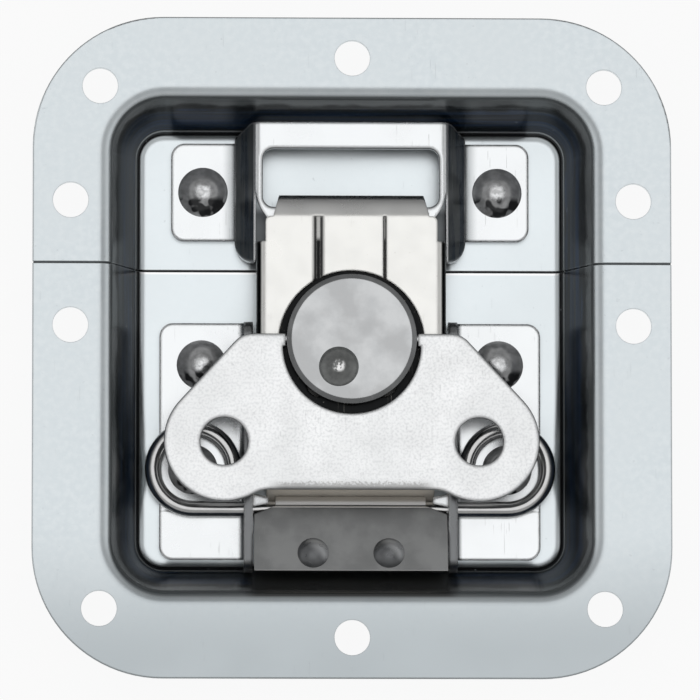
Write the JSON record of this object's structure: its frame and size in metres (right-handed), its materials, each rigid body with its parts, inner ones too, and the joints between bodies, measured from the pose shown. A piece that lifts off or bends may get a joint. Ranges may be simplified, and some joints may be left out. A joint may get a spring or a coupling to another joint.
{
  "type": "butterfly case latch",
  "caption": "Recessed butterfly case latch: a pressed dish parted into lid and body halves, a slotted keeper, and a hook drawn by a cam disc with a folding wing.",
  "frame": {"origin": "centre of the four corner mounting holes, on the back face of the flange", "axes": "+X to the right, +Y from the case body towards the lid, +Z out of the case"},
  "size_m": [0.106, 0.11, 0.0161],
  "materials": {
    "dish_zinc": "satin bright zinc plate, pale blue-grey",
    "bright_zinc": "bright zinc plate",
    "hook_nickel": "satin plate with a faint ivory cast",
    "wing_white_zinc": "tumbled bright zinc plate",
    "cam_steel": "satin mid-grey plate",
    "clamp_dark_steel": "satin, seen dark grey",
    "spring_steel": "polished plated wire",
    "rivet_steel": "polished domes"
  },
  "bodies": {
    "latch_base": {"body_dish": "dish_zinc", "lid_dish": "dish_zinc", "keeper": "bright_zinc", "keeper_rivet_left": "rivet_steel", "keeper_rivet_right": "rivet_steel", "base_bracket_left": "bright_zinc", "base_bracket_right": "bright_zinc", "bracket_rivet_left_upper": "rivet_steel", "bracket_rivet_left_lower": "rivet_steel", "bracket_rivet_right_upper": "rivet_steel", "bracket_rivet_right_lower": "rivet_steel", "wire_spring": "spring_steel"},
    "carrier": {"carrier_plate": "bright_zinc", "wire_clamp": "clamp_dark_steel", "clamp_rivet_left": "rivet_steel", "clamp_rivet_right": "rivet_steel"},
    "hook": {"hook_plate": "hook_nickel"},
    "cam": {"cam_disc": "cam_steel", "axle_washer": "bright_zinc", "crank_pin": "rivet_steel", "crank_roller": "cam_steel"},
    "wing": {"wing": "wing_white_zinc"}
  },
  "joints": [
    {"name": "swing_out", "type": "hinge", "parent": "latch_base", "child": "carrier", "pos_m": [0, -0.02609, -0.00995], "axis": [1, 0, 0], "range_deg": [0, 12]},
    {"name": "cam_turn", "type": "hinge", "parent": "carrier", "child": "cam", "pos_m": [0, 0.0016, -0.00285], "axis": [0, 0, 1], "range_deg": [0, 150]},
    {"name": "hook_draw", "type": "slide", "parent": "carrier", "child": "hook", "axis": [0, 1, 0], "range_m": [0, 0.00761]},
    {"name": "wing_fold", "type": "hinge", "parent": "cam", "child": "wing", "pos_m": [0, 0.0016, -0.00165], "axis": [-1, 0, 0], "range_deg": [0, 90]}
  ],
  "couplings": [
    {"joint": "hook_draw", "follows": "cam_turn", "m_per_rad": 0.002903}
  ]
}
